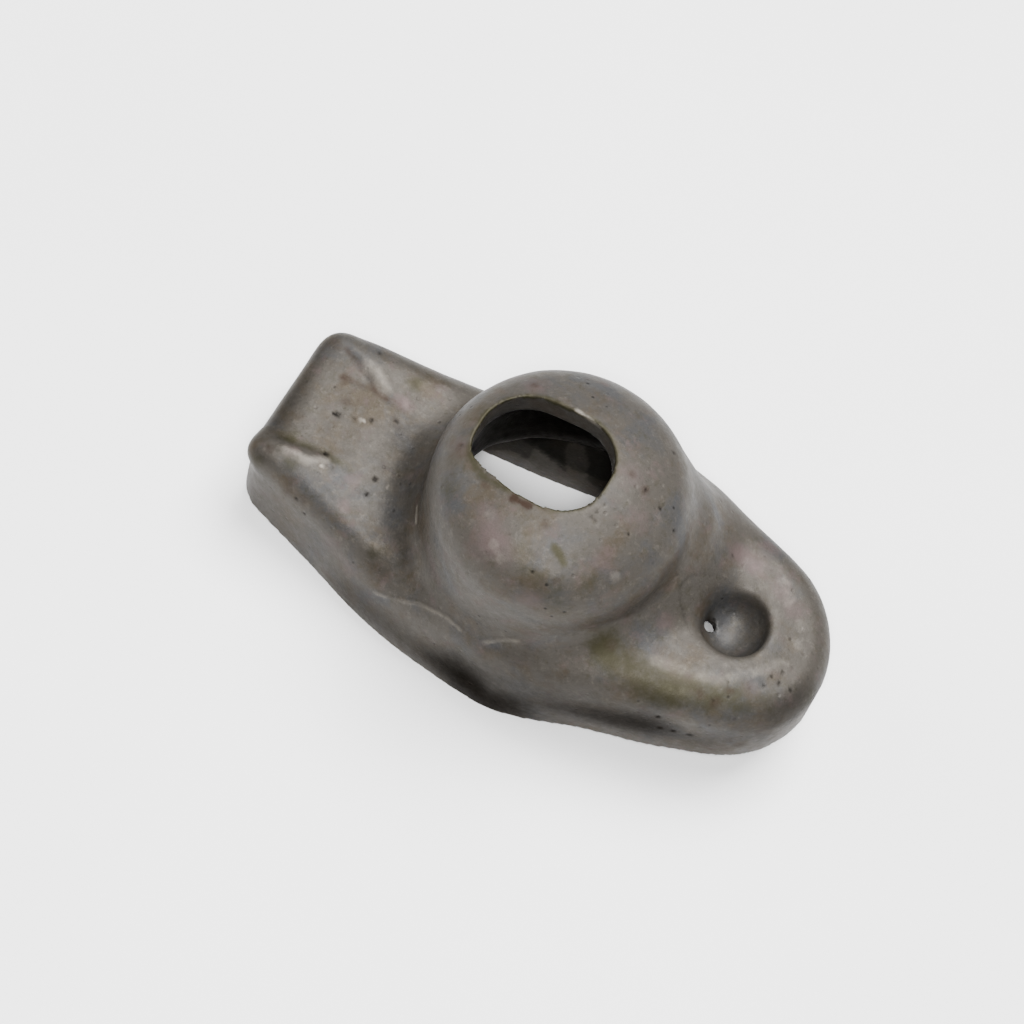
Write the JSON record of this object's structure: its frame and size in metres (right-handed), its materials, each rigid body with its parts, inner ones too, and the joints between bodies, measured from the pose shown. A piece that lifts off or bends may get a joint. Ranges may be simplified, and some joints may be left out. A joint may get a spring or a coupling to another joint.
{
  "type": "rocker arm",
  "caption": "Drawn sheet-steel rocker arm with a domed ball seat, stud slot, pushrod cup with an oil hole and a coined valve pad.",
  "frame": {"origin": "centre of the ball seat, on the stud axis", "axes": "+X along the arm towards the pushrod cup, +Z along the stud out of the crown of the dome, open side down at -Z"},
  "size_m": [0.0744, 0.0368, 0.033],
  "materials": {
    "drawn_steel": "dull as-drawn steel, oil stained, with fine pits and rub marks"
  },
  "bodies": {
    "root": {"rocker_arm": "drawn_steel"}
  },
  "joints": []
}
